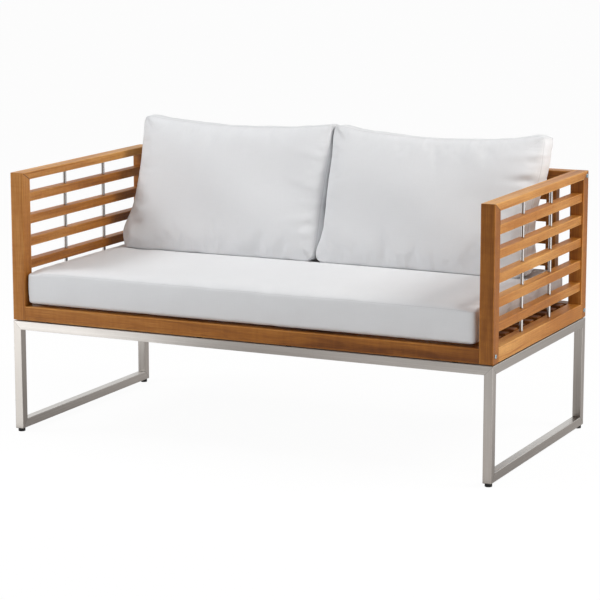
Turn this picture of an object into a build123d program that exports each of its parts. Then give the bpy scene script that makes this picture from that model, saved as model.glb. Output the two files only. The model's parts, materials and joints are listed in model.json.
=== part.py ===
from build123d import *
import math
import os

# A patio loveseat: a slatted hardwood frame on a welded steel tube base, with three loose cushions.
# X runs to the sitter's left, which is the viewer's right, Y runs back and Z runs up.
# The origin is on the floor under the middle of the frame. All lengths are in millimetres.

# Overall sizes
overall_width = 1450.0
overall_depth = 740.0
arm_height = 745.0

# Steel base
base_height = 323.0
tube_size = 25.0
tube_wall = 1.5
tube_corner = 1.5

# Levelling feet
foot_height = 10.0
foot_diameter = 20.0
foot_edge = 1.5
foot_travel = 6.0
stem_diameter = 8.0
stem_length = 18.0
thread_clearance = 0.05
stem_hole_clearance = 0.5
foot_nut_diameter = 16.0
foot_nut_height = 6.0

# Timber sections
post_width = 40.0
post_depth = 40.0
top_rail_thickness = 22.0
bottom_rail_height = 40.0
slat_width = 30.0
slat_thickness = 25.0
slat_levels = 5
stile_width = 30.0
stile_offset = 43.0
edge_round = 2.0

# Timber joints
tenon_length = 15.0
tenon_shoulder = 6.0
short_tenon_length = 12.0
joint_clearance = 0.2
mortise_end_gap = 0.8
dowel_diameter = 6.0
dowel_length = 20.0
dowel_spacing = 20.0
dowel_place_share = 0.28

# Steel rods through the slats
rod_diameter = 10.0
rod_clearance = 0.1
rod_depth_top = 12.0
rod_depth_bottom = 15.0
arm_rod_count = 2
back_rod_count = 4

# Seat deck
seat_slat_count = 10
seat_slat_width = 30.0
seat_slat_thickness = 25.0
seat_slat_proud = 4.0
seat_slat_end_gap = 1.0
bearer_width = 30.0
bearer_inset = 450.0
bearer_tenon_length = 10.0
bearer_shoulder = 4.0
deck_screw_diameter = 4.0
deck_screw_head = 8.0
deck_screw_bite = 14.0
deck_screw_sink = 1.0
screw_clearance = 0.1

# Knock-down bolts and barrel nuts
bolt_diameter = 6.0
bolt_head_diameter = 12.0
bolt_head_height = 2.4
bolt_socket_size = 4.0
bolt_socket_depth = 1.4
bolt_clearance = 0.3
bolt_reach = 36.0
bolt_back_distance = 16.0
top_bolt_drop = 13.5
barrel_diameter = 10.0
barrel_length = 16.0
barrel_cap = 6.0
barrel_set_in = 28.0
barrel_clearance = 0.1

# Fixings between base and timber
spacer_thickness = 3.0
spacer_diameter = 16.0
frame_screw_diameter = 5.0
frame_screw_head = 10.0
frame_screw_head_height = 3.0
frame_screw_access = 14.0
frame_screw_bite = 28.0
frame_screw_end_distance = 110.0
frame_screw_inner_distance = 480.0
side_screw_distance = 190.0

# Seat cushion
seat_cushion_side_gap = 8.0
seat_cushion_front_gap = 6.0
seat_cushion_back_gap = 4.0
seat_cushion_boxing = 96.0
seat_cushion_crown = 11.0
seat_cushion_corner = 10.0
seat_cushion_draw = 3.0
seat_cushion_shift = -5.0
seat_bottom_round = 10.0

# Back cushions
back_cushion_end_gap = 47.5
back_cushion_rise = 108.0
back_cushion_boxing = 76.0
back_cushion_front_crown = 38.0
back_cushion_rear_crown = 34.0
back_cushion_corner = 18.0
back_cushion_side_draw = 6.0
back_cushion_top_draw = 20.0
back_cushion_middle_gap = 3.0
back_cushion_shift = -3.0
back_cushion_lift = 2.4
back_cushion_slump = 20.0
back_cushion_lean = 22.0

# Cushion covers and fillings
cover_thickness = 2.0
filling_clearance = 0.4
rest_clearance = 0.3

# Crown profile: how far in from the edge, as a share of half the cushion's short side,
# and how high, as a share of the crown
crown_inset_shares = (0.0, 0.06, 0.2, 0.42, 0.66)
crown_rise_shares = (0.0, 0.34, 0.68, 0.92, 1.0)

# One overrun serves every cut
overrun = 5.0

# Places worked out from the sizes above
half_width = overall_width / 2
half_depth = overall_depth / 2
inner_x = half_width - post_width
inner_y = half_depth - post_depth
timber_bottom = base_height + spacer_thickness
rail_top = timber_bottom + bottom_rail_height
top_rail_bottom = arm_height - top_rail_thickness
slat_gap = (top_rail_bottom - rail_top - slat_levels * slat_thickness) / (slat_levels + 1)
slat_inset = (post_width - slat_width) / 2
stile_outer_x = inner_x - stile_offset
stile_inner_x = stile_outer_x - stile_width
deck_top = rail_top + seat_slat_proud
deck_underside = deck_top - seat_slat_thickness
seat_rest = deck_top + rest_clearance
seat_cushion_width = 2 * (inner_x - seat_cushion_side_gap)
seat_cushion_front = -half_depth + seat_cushion_front_gap
seat_cushion_depth = inner_y - seat_cushion_back_gap - seat_cushion_front
back_rest = seat_rest + seat_cushion_boxing + seat_cushion_crown + rest_clearance
back_cushion_width = inner_x - back_cushion_end_gap - back_cushion_middle_gap / 2
back_cushion_fall = math.cos(math.radians(back_cushion_lean))
back_cushion_height = (arm_height + back_cushion_rise - back_rest - back_cushion_lift) / back_cushion_fall
bolt_y = half_depth - bolt_back_distance
low_bolt_z = timber_bottom + bottom_rail_height / 2
top_bolt_z = arm_height - top_bolt_drop

sides = {"left": -1, "right": 1}
ends = {"front": -1, "back": 1}


def span(low, high):
    """Two places on one axis in rising order."""
    return (min(low, high), max(low, high))


def block(x_span, y_span, z_span):
    """A box between two places on each axis."""
    spans = (x_span, y_span, z_span)
    middle = [(low + high) / 2 for low, high in spans]
    size = [high - low for low, high in spans]
    return Pos(*middle) * Box(*size)


def bar_along(axis, diameter, start, length):
    """A round bar that starts at a point and runs along a named axis."""
    direction = {"x": (1, 0, 0), "y": (0, 1, 0), "z": (0, 0, 1)}[axis]
    plane = Plane(origin=start, z_dir=direction)
    return plane * Cylinder(diameter / 2, length, align=(Align.CENTER, Align.CENTER, Align.MIN))


def prism_x(points, x_span):
    """A prism whose outline is given as Y and Z places and which runs along X."""
    outline = Plane.YZ * make_face(Polyline(*points, close=True))
    return Pos(x_span[0], 0, 0) * extrude(outline, x_span[1] - x_span[0])


# Timbers

class Timber:
    """A straight timber: a span on each axis, the axis that it runs along and its tenon length."""

    def __init__(self, x_span, y_span, z_span, along, tenon=0, shoulder=0):
        self.spans = [x_span, y_span, z_span]
        self.along = along
        self.tenon = tenon
        self.shoulder = shoulder

    def core(self, slack=0, end_gap=0):
        """The tenons at both ends joined through the timber, or with slack, their mortises."""
        spans = []
        for axis, (low, high) in enumerate(self.spans):
            if axis == self.along:
                spans.append((low - self.tenon - end_gap, high + self.tenon + end_gap))
            else:
                spans.append((low + self.shoulder - slack, high - self.shoulder + slack))
        return block(*spans)

    def mortise(self):
        return self.core(joint_clearance, mortise_end_gap)

    def solid(self):
        """The timber with its long edges rounded and its tenons."""
        blank = block(*self.spans)
        axis = (Axis.X, Axis.Y, Axis.Z)[self.along]
        blank = fillet(blank.edges().filter_by(axis), edge_round)
        return blank + self.core() if self.tenon else blank


def slat_bottom(level):
    """The underside of a slat, counted from the lowest."""
    return rail_top + slat_gap + level * (slat_thickness + slat_gap)


def arm_slat(side, level):
    low = slat_bottom(level)
    return Timber(
        span(side * (inner_x + slat_inset), side * (half_width - slat_inset)),
        (-inner_y, inner_y),
        (low, low + slat_thickness),
        1, tenon_length, tenon_shoulder)


def arm_bottom_rail(side):
    return Timber(
        span(side * inner_x, side * half_width),
        (-inner_y, inner_y),
        (timber_bottom, rail_top),
        1, tenon_length, tenon_shoulder)


def arm_rod_places():
    """Y places of the rods, which share the arm's clear length evenly."""
    pitch = 2 * inner_y / (arm_rod_count + 1)
    return [-inner_y + pitch * (number + 1) for number in range(arm_rod_count)]


def back_rod_places():
    """X places of the rods, which share the back's clear length evenly."""
    pitch = 2 * stile_inner_x / (back_rod_count + 1)
    return [-stile_inner_x + pitch * (number + 1) for number in range(back_rod_count)]


def upright_rod(x, y, clearance=0):
    """A rod from its blind bore in the bottom rail to the one in the top rail."""
    start = rail_top - rod_depth_bottom
    length = top_rail_bottom + rod_depth_top - start
    return bar_along("z", rod_diameter + 2 * clearance, (x, y, start), length)


def arm_rods(side, clearance=0):
    x = side * (half_width - post_width / 2)
    return [upright_rod(x, y, clearance) for y in arm_rod_places()]


def back_rods(clearance=0):
    y = half_depth - post_depth / 2
    return [upright_rod(x, y, clearance) for x in back_rod_places()]


def mitre_line(end):
    """The arm's mitre in Y and Z, from the outer top corner to the inner one, run past both."""
    outer = Vector(end * half_depth, arm_height)
    inner = Vector(end * inner_y, top_rail_bottom)
    step = (outer - inner).normalized() * overrun
    return outer + step, inner - step


def mitre_wedge(side, end, above):
    """What the mitre takes off: above the line from a post, below it from the top rail."""
    outer, inner = mitre_line(end)
    corner = Vector(inner.X, outer.Y) if above else Vector(outer.X, inner.Y)
    points = [(outer.X, outer.Y), (inner.X, inner.Y), (corner.X, corner.Y)]
    return prism_x(points, span(side * (inner_x - overrun), side * (half_width + overrun)))


def mitre_dowels(side, end, clearance=0):
    """Two short dowels square to the mitre, set towards its inner corner."""
    outer = Vector(0, end * half_depth, arm_height)
    inner = Vector(0, end * inner_y, top_rail_bottom)
    along = (outer - inner).normalized()
    across = Vector(1, 0, 0).cross(along)
    middle = inner + (outer - inner) * dowel_place_share
    length = dowel_length + (2 * mortise_end_gap if clearance else 0)
    dowels = []
    for hand in (-1, 1):
        x = side * (half_width - post_width / 2) + hand * dowel_spacing / 2
        plane = Plane(origin=middle + Vector(x, 0, 0), z_dir=across)
        dowels.append(plane * Cylinder(dowel_diameter / 2 + clearance, length))
    return dowels


def bolt_places(side, end):
    """Y and Z places of the bolts through a post, with the height of the rail that each one pulls in."""
    places = [(end * bolt_y, low_bolt_z)]
    if end > 0:
        places.append((end * bolt_y, top_bolt_z))
    return places


def connector_bolt(side, y, z):
    """A bolt with a low round head and a hexagon socket, through a post into a rail's end."""
    length = post_width + bolt_reach
    shank = bar_along("x", bolt_diameter, (-length, 0, 0), length)
    head = bar_along("x", bolt_head_diameter, (0, 0, 0), bolt_head_height)
    head = fillet(head.edges().sort_by(Axis.X)[-1], bolt_head_height / 2)
    socket = Plane(origin=(bolt_head_height, 0, 0), z_dir=(-1, 0, 0)) * RegularPolygon(bolt_socket_size / 2, 6)
    bolt = shank + head - extrude(socket, bolt_socket_depth)
    if side < 0:
        bolt = Rot(0, 0, 180) * bolt
    return Pos(side * half_width, y, z) * bolt


def bolt_hole(side, y, z):
    inner = side * (inner_x - bolt_reach - mortise_end_gap)
    outer = side * (half_width + overrun)
    return bar_along("x", bolt_diameter + 2 * bolt_clearance, (min(inner, outer), y, z), abs(outer - inner))


def barrel_place(side):
    return side * (inner_x - barrel_set_in)


def barrel_span(z, underside):
    """A barrel nut's bottom, which the rail's underside may cut short, and its top."""
    return max(underside, z - barrel_length / 2), z + barrel_cap


def barrel_nut(side, y, z, underside):
    """A cross nut that stands in a hole bored up from under the rail."""
    low, top = barrel_span(z, underside)
    x = barrel_place(side)
    nut = bar_along("z", barrel_diameter, (x, y, low), top - low)
    return nut - bar_along("x", bolt_diameter + 2 * thread_clearance,
                           (x - barrel_diameter, y, z), 2 * barrel_diameter)


def barrel_hole(side, y, z, underside):
    low = underside - overrun
    top = barrel_span(z, underside)[1] + barrel_clearance
    return bar_along("z", barrel_diameter + 2 * barrel_clearance, (barrel_place(side), y, low), top - low)


def make_post(side, end):
    post = Timber(
        span(side * inner_x, side * half_width),
        span(end * inner_y, end * half_depth),
        (timber_bottom, arm_height), 2).solid()
    post -= mitre_wedge(side, end, True)
    for level in range(slat_levels):
        post -= arm_slat(side, level).mortise()
    post -= arm_bottom_rail(side).mortise()
    for dowel in mitre_dowels(side, end, joint_clearance):
        post -= dowel
    for y, z in bolt_places(side, end):
        post -= bolt_hole(side, y, z)
    return post


def make_arm_top_rail(side):
    rail = Timber(
        span(side * inner_x, side * half_width),
        (-half_depth, half_depth),
        (top_rail_bottom, arm_height), 1).solid()
    for end in ends.values():
        rail -= mitre_wedge(side, end, False)
        for dowel in mitre_dowels(side, end, joint_clearance):
            rail -= dowel
    for rod in arm_rods(side, rod_clearance):
        rail -= rod
    return rail


def make_arm_slat(side, level):
    slat = arm_slat(side, level).solid()
    for rod in arm_rods(side, rod_clearance):
        slat -= rod
    return slat


def make_arm_bottom_rail(side):
    rail = arm_bottom_rail(side).solid()
    for rod in arm_rods(side, rod_clearance):
        rail -= rod
    for x, y in side_screw_places(side):
        rail -= frame_screw_hole(x, y)
    return rail


# Front rail and back frame

def long_rail(end, z_span):
    """A rail between the two arms, with plain ends that bolts pull against the posts."""
    return Timber((-inner_x, inner_x), span(end * inner_y, end * half_depth), z_span, 0)


def drill_long_rail(rail, end, z, underside):
    for side in sides.values():
        rail -= bolt_hole(side, end * bolt_y, z)
        rail -= barrel_hole(side, end * bolt_y, z, underside)
    return rail


def bearer_places():
    """X places of the bearers: one against each arm and two between."""
    outer = inner_x - bearer_width / 2
    inner = outer - bearer_inset
    return [-outer, -inner, inner, outer]


def bearer(x):
    return Timber(
        (x - bearer_width / 2, x + bearer_width / 2),
        (-inner_y, inner_y),
        (timber_bottom, deck_underside),
        1, bearer_tenon_length, bearer_shoulder)


def make_low_rail(end):
    """The front rail, or the back's bottom rail."""
    rail = long_rail(end, (timber_bottom, rail_top)).solid()
    for x in bearer_places():
        rail -= bearer(x).mortise()
    for x, y in long_screw_places(end):
        rail -= frame_screw_hole(x, y)
    return drill_long_rail(rail, end, low_bolt_z, timber_bottom)


def stile(side):
    depth = (half_depth - slat_inset, inner_y + slat_inset)
    return Timber(
        span(side * stile_inner_x, side * stile_outer_x),
        span(*depth),
        (rail_top, top_rail_bottom),
        2, short_tenon_length, tenon_shoulder)


def back_slat(level):
    low = slat_bottom(level)
    return Timber(
        (-stile_inner_x, stile_inner_x),
        (inner_y + slat_inset, half_depth - slat_inset),
        (low, low + slat_thickness),
        0, short_tenon_length, tenon_shoulder)


def make_back_bottom_rail():
    rail = make_low_rail(ends["back"])
    for side in sides.values():
        rail -= stile(side).mortise()
    for rod in back_rods(rod_clearance):
        rail -= rod
    return rail


def make_back_top_rail():
    rail = long_rail(ends["back"], (top_rail_bottom, arm_height)).solid()
    for side in sides.values():
        rail -= stile(side).mortise()
    for rod in back_rods(rod_clearance):
        rail -= rod
    return drill_long_rail(rail, ends["back"], top_bolt_z, top_rail_bottom)


def make_stile(side):
    upright = stile(side).solid()
    for level in range(slat_levels):
        upright -= back_slat(level).mortise()
    return upright


def make_back_slat(level):
    slat = back_slat(level).solid()
    for rod in back_rods(rod_clearance):
        slat -= rod
    return slat


# Seat deck

def seat_slat_places():
    """Y places of the seat slats, which share the clear depth evenly."""
    gap = (2 * inner_y - seat_slat_count * seat_slat_width) / (seat_slat_count + 1)
    first = -inner_y + gap + seat_slat_width / 2
    return [first + number * (seat_slat_width + gap) for number in range(seat_slat_count)]


def deck_screw(x, y, clearance=0):
    """A countersunk screw up through a bearer into a slat."""
    low = timber_bottom + deck_screw_sink
    shank_top = deck_underside + deck_screw_bite + clearance
    radius = deck_screw_diameter / 2 + clearance
    head_radius = deck_screw_head / 2 + clearance
    shank = bar_along("z", 2 * radius, (x, y, low), shank_top - low)
    head = Pos(x, y, low) * Cone(head_radius, radius, head_radius - radius,
                                 align=(Align.CENTER, Align.CENTER, Align.MIN))
    tool = shank + head
    if clearance:
        tool += bar_along("z", 2 * head_radius, (x, y, low - overrun), overrun)
    return tool


def deck_screw_places():
    return [(x, y) for x in bearer_places() for y in seat_slat_places()]


def make_seat_slat(y):
    slat = Timber(
        (-inner_x + seat_slat_end_gap, inner_x - seat_slat_end_gap),
        (y - seat_slat_width / 2, y + seat_slat_width / 2),
        (deck_underside, deck_top), 0).solid()
    for x in bearer_places():
        slat -= deck_screw(x, y, screw_clearance)
    return slat


def make_bearer(x):
    timber = bearer(x).solid()
    for y in seat_slat_places():
        timber -= deck_screw(x, y, screw_clearance)
    return timber


# Steel base

def tube_blank(x_span, y_span, z_span, along):
    """A square tube with open ends."""
    axis = (Axis.X, Axis.Y, Axis.Z)[along]
    outside = block(x_span, y_span, z_span)
    outside = fillet(outside.edges().filter_by(axis), tube_corner)
    bore = []
    for number, (low, high) in enumerate((x_span, y_span, z_span)):
        step = -overrun if number == along else tube_wall
        bore.append((low + step, high - step))
    return outside - block(*bore)


def mitre_cut(corner, run, across):
    """The wedge cut off a tube's end. Corner is the outer corner, run points along the tube
    and across points from its outer face to its inner one."""
    corner, run, across = Vector(*corner), Vector(*run), Vector(*across)
    start = corner - (run + across) * overrun
    finish = corner + (run + across) * (tube_size + overrun)
    third = start + across * (tube_size + 2 * overrun)
    face = make_face(Polyline(start, finish, third, close=True))
    reach = tube_size + overrun
    return extrude(face, reach, dir=run.cross(across), both=True)


def base_corner(side, end, z):
    return (side * half_width, end * half_depth, z)


def make_base_long_rail(end):
    """The front or back rail of the base's top frame, mitred three ways at each corner."""
    rail = tube_blank((-half_width, half_width), span(end * half_depth, end * (half_depth - tube_size)),
                      (base_height - tube_size, base_height), 0)
    for side in sides.values():
        corner = base_corner(side, end, base_height)
        rail -= mitre_cut(corner, (-side, 0, 0), (0, -end, 0))
        rail -= mitre_cut(corner, (-side, 0, 0), (0, 0, -1))
    for x, y in long_screw_places(end):
        rail -= frame_screw_hole(x, y) + frame_screw_access_hole(x, y)
    return rail


def make_base_side_rail(side):
    rail = tube_blank(span(side * half_width, side * (half_width - tube_size)), (-half_depth, half_depth),
                      (base_height - tube_size, base_height), 1)
    for end in ends.values():
        corner = base_corner(side, end, base_height)
        rail -= mitre_cut(corner, (0, -end, 0), (-side, 0, 0))
        rail -= mitre_cut(corner, (0, -end, 0), (0, 0, -1))
    for x, y in side_screw_places(side):
        rail -= frame_screw_hole(x, y) + frame_screw_access_hole(x, y)
    return rail


def make_leg(side, end):
    leg = tube_blank(span(side * half_width, side * (half_width - tube_size)),
                     span(end * half_depth, end * (half_depth - tube_size)),
                     (foot_height, base_height), 2)
    top = base_corner(side, end, base_height)
    leg -= mitre_cut(top, (0, 0, -1), (-side, 0, 0))
    leg -= mitre_cut(top, (0, 0, -1), (0, -end, 0))
    return leg - mitre_cut(base_corner(side, end, foot_height), (0, 0, 1), (0, -end, 0))


def foot_place(side, end):
    return (side * (half_width - tube_size / 2), end * (half_depth - tube_size / 2))


def make_runner(side):
    runner = tube_blank(span(side * half_width, side * (half_width - tube_size)), (-half_depth, half_depth),
                        (foot_height, foot_height + tube_size), 1)
    for end in ends.values():
        runner -= mitre_cut(base_corner(side, end, foot_height), (0, -end, 0), (0, 0, 1))
        x, y = foot_place(side, end)
        runner -= bar_along("z", stem_diameter + 2 * stem_hole_clearance,
                            (x, y, foot_height - overrun), overrun + 2 * tube_wall)
    return runner


def make_foot_nut(side, end):
    """A round nut welded over the foot's hole, inside the tube."""
    x, y = foot_place(side, end)
    low = foot_height + tube_wall
    nut = bar_along("z", foot_nut_diameter, (x, y, low), foot_nut_height)
    return nut - bar_along("z", stem_diameter + 2 * thread_clearance, (x, y, low - overrun),
                           foot_nut_height + 2 * overrun)


def make_foot(side, end):
    """A round pad with its stem, screwed right in."""
    x, y = foot_place(side, end)
    pad = bar_along("z", foot_diameter, (x, y, 0), foot_height)
    pad = fillet(pad.edges().sort_by(Axis.Z)[0], foot_edge)
    return pad + bar_along("z", stem_diameter, (x, y, foot_height), stem_length)


# Fixings between base and timber

def long_screw_places(end):
    y = end * (half_depth - tube_size / 2)
    outer = half_width - frame_screw_end_distance
    inner = outer - frame_screw_inner_distance
    return [(x, y) for x in (-outer, -inner, inner, outer)]


def side_screw_places(side):
    x = side * (half_width - tube_size / 2)
    return [(x, y) for y in (-side_screw_distance, side_screw_distance)]


def frame_screw_places():
    places = []
    for end in ends.values():
        places += long_screw_places(end)
    for side in sides.values():
        places += side_screw_places(side)
    return places


def frame_screw_top():
    return timber_bottom + frame_screw_bite


def make_frame_screw(x, y):
    """A screw whose head bears on the inside of the tube's upper wall."""
    low = base_height - tube_wall
    head = bar_along("z", frame_screw_head, (x, y, low - frame_screw_head_height), frame_screw_head_height)
    head = fillet(head.edges().sort_by(Axis.Z)[0], frame_screw_head_height / 3)
    return head + bar_along("z", frame_screw_diameter, (x, y, low), frame_screw_top() - low)


def frame_screw_hole(x, y):
    low = base_height - tube_size - overrun
    return bar_along("z", frame_screw_diameter + 2 * screw_clearance, (x, y, low),
                     frame_screw_top() + screw_clearance - low)


def frame_screw_access_hole(x, y):
    """The hole in the tube's lower wall that a screw and its driver pass through."""
    low = base_height - tube_size - overrun
    return bar_along("z", frame_screw_access, (x, y, low), overrun + tube_size / 2)


def make_spacer(x, y):
    spacer = bar_along("z", spacer_diameter, (x, y, base_height), spacer_thickness)
    return spacer - frame_screw_hole(x, y)


# Cushions

def drawn_outline(width, height, side_draw, top_draw, corner):
    """A closed outline, straight along the bottom, whose other three sides bow in by their draw."""
    x, y = width / 2, height / 2
    edges = [
        Line((-x, -y), (x, -y)),
        ThreePointArc((x, -y), (x - side_draw, 0), (x, y)),
        ThreePointArc((x, y), (0, y - top_draw), (-x, y)),
        ThreePointArc((-x, y), (-x + side_draw, 0), (-x, -y)),
    ]
    face = make_face(edges)
    return fillet(face.vertices(), corner)


def crown_sections(width, height, draws, corner, rise, short_side):
    """Outlines that step in from the edge and up the crown."""
    sections = []
    for inset_share, rise_share in zip(crown_inset_shares, crown_rise_shares):
        inset = inset_share * short_side / 2
        outline = drawn_outline(width - 2 * inset, height - 2 * inset, *draws, corner)
        sections.append((rise_share * rise, outline))
    return sections


def back_cushion_form(shrink):
    """A boxed pillow about its own middle, crowned in front and behind. It has slumped, so that
    its rear panel stands higher up the slope than its front one."""
    width = back_cushion_width - 2 * shrink
    height = back_cushion_height - 2 * shrink
    half_boxing = back_cushion_boxing / 2 - shrink
    draws = (back_cushion_side_draw, back_cushion_top_draw)
    front = crown_sections(width, height, draws, back_cushion_corner, back_cushion_front_crown, height)
    rear = crown_sections(width, height, draws, back_cushion_corner, back_cushion_rear_crown, height)
    levels = [(-half_boxing - rise, outline) for rise, outline in reversed(rear)]
    levels += [(half_boxing + rise, outline) for rise, outline in front]
    slump = back_cushion_slump / back_cushion_boxing
    return loft([Pos(0, -z * slump, z) * outline for z, outline in levels], ruled=True)


def back_cushion_plane(side):
    """The leaning cushion's own plane: its rear crown lies against the top rail's front edge."""
    lean = math.radians(back_cushion_lean)
    normal = Vector(0, -math.cos(lean), math.sin(lean))
    half_boxing = back_cushion_boxing / 2
    half_height = (back_cushion_height + back_cushion_slump) / 2
    middle_z = back_rest + back_cushion_lift + half_height * math.cos(lean) - half_boxing * math.sin(lean)
    behind = half_boxing + back_cushion_rear_crown + rest_clearance
    above = (arm_height - middle_z) * math.sin(lean)
    middle_y = inner_y - (behind + above) / math.cos(lean)
    middle_x = back_cushion_shift + side * (back_cushion_width + back_cushion_middle_gap) / 2
    return Plane(origin=(middle_x, middle_y, middle_z), x_dir=(1, 0, 0), z_dir=normal)


def flattened_back_cushion(side, shrink):
    """The pillow stood on the seat cushion, and flat where it rests on it."""
    form = back_cushion_plane(side) * back_cushion_form(shrink)
    box = form.bounding_box()
    under = block((box.min.X - overrun, box.max.X + overrun), (box.min.Y - overrun, box.max.Y + overrun),
                  (box.min.Z - overrun, back_rest + shrink))
    return form - under


def seat_cushion_form(shrink):
    """A boxed cushion: flat below, with rounded lower edges and a low crown."""
    width = seat_cushion_width - 2 * shrink
    depth = seat_cushion_depth - 2 * shrink
    low = seat_rest + shrink
    seam = seat_rest + seat_cushion_boxing - shrink
    draws = (seat_cushion_draw, seat_cushion_draw)
    levels = [
        (low, drawn_outline(width - seat_bottom_round, depth - seat_bottom_round, *draws, seat_cushion_corner)),
        (low + seat_bottom_round, drawn_outline(width, depth, *draws, seat_cushion_corner)),
    ]
    crown = crown_sections(width, depth, draws, seat_cushion_corner, seat_cushion_crown, depth / 2)
    levels += [(seam + rise, outline) for rise, outline in crown]
    middle_y = seat_cushion_front + seat_cushion_depth / 2
    return loft([Pos(seat_cushion_shift, middle_y, z) * outline for z, outline in levels], ruled=True)


def cover_and_filling(form):
    """A sewn cover and the filling inside it, from a form that can be shrunk."""
    cover = form(0) - form(cover_thickness)
    return cover, form(cover_thickness + filling_clearance)


# The whole loveseat, one entry for each node

def steel_base():
    parts = {}
    for name, end in ends.items():
        parts[f"base_{name}_rail"] = [make_base_long_rail(end)]
    for name, side in sides.items():
        parts[f"base_side_rail_{name}"] = [make_base_side_rail(side)]
        parts[f"runner_{name}"] = [make_runner(side)]
    corners = [(f"{end_name}_{side_name}", side, end)
               for end_name, end in ends.items() for side_name, side in sides.items()]
    for name, side, end in corners:
        parts[f"leg_{name}"] = [make_leg(side, end)]
        parts[f"foot_{name}"] = [make_foot(side, end)]
    parts["foot_nuts"] = [make_foot_nut(side, end) for _, side, end in corners]
    parts["frame_screws"] = [make_frame_screw(x, y) for x, y in frame_screw_places()]
    parts["frame_spacers"] = [make_spacer(x, y) for x, y in frame_screw_places()]
    return parts


def arms():
    parts = {}
    for side_name, side in sides.items():
        for end_name, end in ends.items():
            parts[f"post_{end_name}_{side_name}"] = [make_post(side, end)]
        parts[f"arm_top_rail_{side_name}"] = [make_arm_top_rail(side)]
        parts[f"arm_bottom_rail_{side_name}"] = [make_arm_bottom_rail(side)]
        for level in range(slat_levels):
            parts[f"arm_slat_{side_name}_{level + 1}"] = [make_arm_slat(side, level)]
    parts["arm_rods"] = [rod for side in sides.values() for rod in arm_rods(side)]
    parts["mitre_dowels"] = [dowel for side in sides.values() for end in ends.values()
                             for dowel in mitre_dowels(side, end)]
    return parts


def front_and_back():
    parts = {
        "front_rail": [make_low_rail(ends["front"])],
        "back_bottom_rail": [make_back_bottom_rail()],
        "back_top_rail": [make_back_top_rail()],
        "back_rods": back_rods(),
    }
    for name, side in sides.items():
        parts[f"back_stile_{name}"] = [make_stile(side)]
    for level in range(slat_levels):
        parts[f"back_slat_{level + 1}"] = [make_back_slat(level)]
    return parts


def seat_deck():
    return {
        "seat_slats": [make_seat_slat(y) for y in seat_slat_places()],
        "seat_bearers": [make_bearer(x) for x in bearer_places()],
        "deck_screws": [deck_screw(x, y) for x, y in deck_screw_places()],
    }


def connectors():
    bolts = []
    nuts = []
    for side in sides.values():
        for end in ends.values():
            for y, z in bolt_places(side, end):
                underside = timber_bottom if z == low_bolt_z else top_rail_bottom
                bolts.append(connector_bolt(side, y, z))
                nuts.append(barrel_nut(side, y, z, underside))
    return {"connector_bolts": bolts, "barrel_nuts": nuts}


def cushions():
    parts = {}
    cover, filling = cover_and_filling(seat_cushion_form)
    parts["seat_cushion_cover"] = [cover]
    parts["seat_cushion_foam"] = [filling]
    for name, side in sides.items():
        cover, filling = cover_and_filling(lambda shrink: flattened_back_cushion(side, shrink))
        parts[f"back_cushion_{name}_cover"] = [cover]
        parts[f"back_cushion_{name}_filling"] = [filling]
    return parts


def export(parts):
    os.makedirs("parts", exist_ok=True)
    for name, pieces in parts.items():
        solids = [solid for piece in pieces for solid in piece.solids()]
        shape = solids[0] if len(solids) == 1 else Compound(solids)
        shape.label = name
        export_step(shape, os.path.join("parts", f"{name}.step"))


export({**steel_base(), **arms(), **front_and_back(), **seat_deck(), **connectors(), **cushions()})
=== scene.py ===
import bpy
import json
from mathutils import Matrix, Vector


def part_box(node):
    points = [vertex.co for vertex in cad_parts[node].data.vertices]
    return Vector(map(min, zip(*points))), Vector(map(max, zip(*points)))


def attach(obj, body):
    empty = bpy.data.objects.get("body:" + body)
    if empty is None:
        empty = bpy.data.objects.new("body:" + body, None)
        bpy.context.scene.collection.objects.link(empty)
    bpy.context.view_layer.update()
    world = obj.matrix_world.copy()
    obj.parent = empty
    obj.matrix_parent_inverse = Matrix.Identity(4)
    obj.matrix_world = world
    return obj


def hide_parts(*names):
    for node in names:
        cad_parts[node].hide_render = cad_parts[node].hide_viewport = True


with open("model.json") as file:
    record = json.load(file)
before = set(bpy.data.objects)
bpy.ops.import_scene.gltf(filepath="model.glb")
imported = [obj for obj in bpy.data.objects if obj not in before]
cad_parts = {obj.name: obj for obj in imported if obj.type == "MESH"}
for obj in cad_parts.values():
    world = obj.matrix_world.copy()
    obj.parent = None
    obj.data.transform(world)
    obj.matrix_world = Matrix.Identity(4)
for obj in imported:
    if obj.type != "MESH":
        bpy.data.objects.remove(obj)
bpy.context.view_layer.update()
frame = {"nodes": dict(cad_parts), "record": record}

import json
import math

import bpy
import numpy as np
from mathutils import Vector

# A patio loveseat: finishes for its timber, steel and fittings, and its three sewn cushions.
# X runs to the viewer's right, Y runs back and Z runs up. Lengths are in metres.

# The camera, as worked out from the photograph's straight edges
camera_place = (2.82492, -5.94658, 1.60811)
camera_aim = (-0.42195, 0.88780, -0.18378)
camera_lens_mm = 141.47
camera_sensor_mm = 36.0
camera_far = 200.0

# The gap left where two things touch, and how near two depths are that count as the same
clearance = 0.0006
same_depth = 1e-6

# The gap between the two panels on the flat cloth
sheet_gap = 0.1

# The seat cushion's size as sewn, its crown and its sides
seat_boxing = 0.096
seat_spacing = 0.0115
seat_corner = 0.009
seat_draws = (0.0, 0.001, 0.002, 0.003)
seat_crown = 0.011
seat_crown_powers = (0.35, 0.42)
corner_droop = 0.0065
corner_reach = 0.045
seat_belly = 0.0022
seat_inset = 0.0016
seam_lift = 0.006
seam_lift_reach = 0.012

# Where the back cushions press the seat cushion down
seat_press = 0.0110
press_line = 0.100
press_blend = 0.024
press_ends = 0.07

# The folds that fan out from the seat cushion's back left corner
fan_height = 0.0030
fan_turns = 15.0
fan_start = 0.6
fan_reach = 0.20
fan_gap = 0.15

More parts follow.
